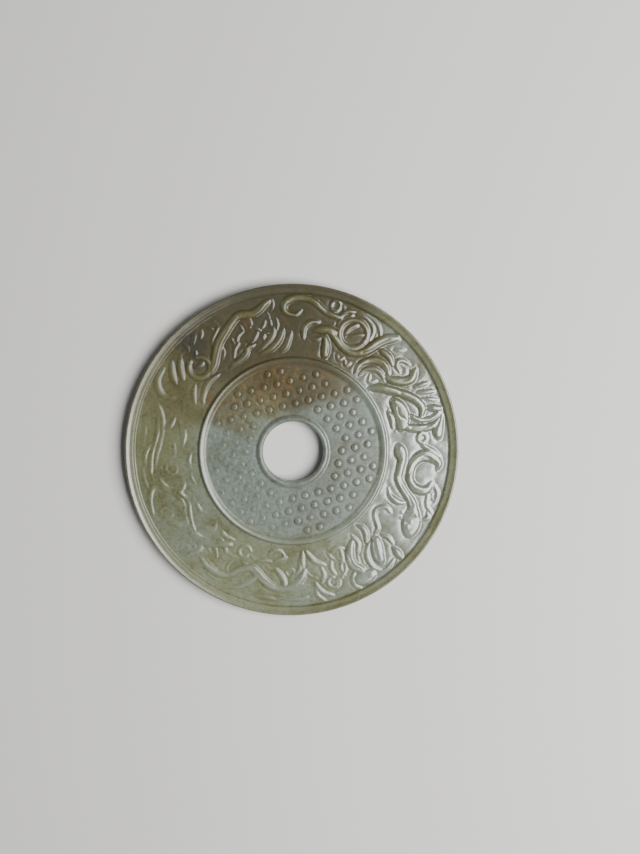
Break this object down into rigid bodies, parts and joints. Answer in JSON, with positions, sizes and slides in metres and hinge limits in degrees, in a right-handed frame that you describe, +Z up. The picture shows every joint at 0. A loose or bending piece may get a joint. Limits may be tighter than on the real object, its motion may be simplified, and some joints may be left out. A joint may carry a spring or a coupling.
{
  "type": "jade bi disc",
  "caption": "Carved jade bi disc, lying flat, with a round central hole, a grain-boss field and a band of coiling dragons in relief.",
  "frame": {"origin": "centre of the hole at the height of the surface that the disc lies on", "axes": "+Z up out of the carved face, along the axis of the disc; +Y towards the top of the disc as it is seen"},
  "size_m": [0.17, 0.17, 0.008],
  "materials": {
    "jade": "polished"
  },
  "bodies": {
    "root": {"jade_disc": "jade"}
  },
  "joints": []
}
